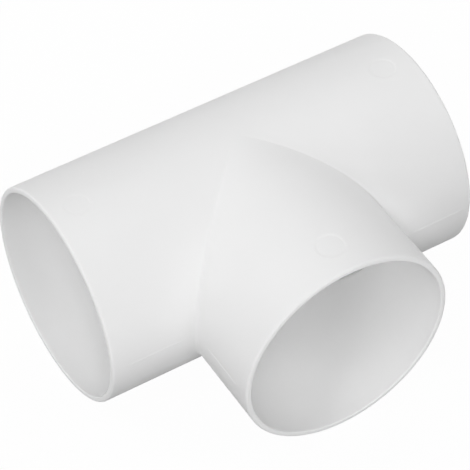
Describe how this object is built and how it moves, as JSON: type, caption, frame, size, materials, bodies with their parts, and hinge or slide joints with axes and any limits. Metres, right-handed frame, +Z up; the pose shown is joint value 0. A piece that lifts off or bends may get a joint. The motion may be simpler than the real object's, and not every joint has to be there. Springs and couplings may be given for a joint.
{
  "type": "ventilation duct tee",
  "caption": "Thin-walled plastic tee for round ventilation ducts: a straight run with a branch of the same diameter at a right angle, and plain mouths that ducts push into.",
  "frame": {"origin": "where the axes of the run and the branch cross", "axes": "+X along the run, -Y out of the branch's mouth, +Z up as the tee lies on a flat surface"},
  "size_m": [0.195, 0.1509, 0.1076],
  "materials": {
    "white_plastic": "satin, as moulded"
  },
  "bodies": {
    "root": {"duct_tee": "white_plastic"}
  },
  "joints": []
}
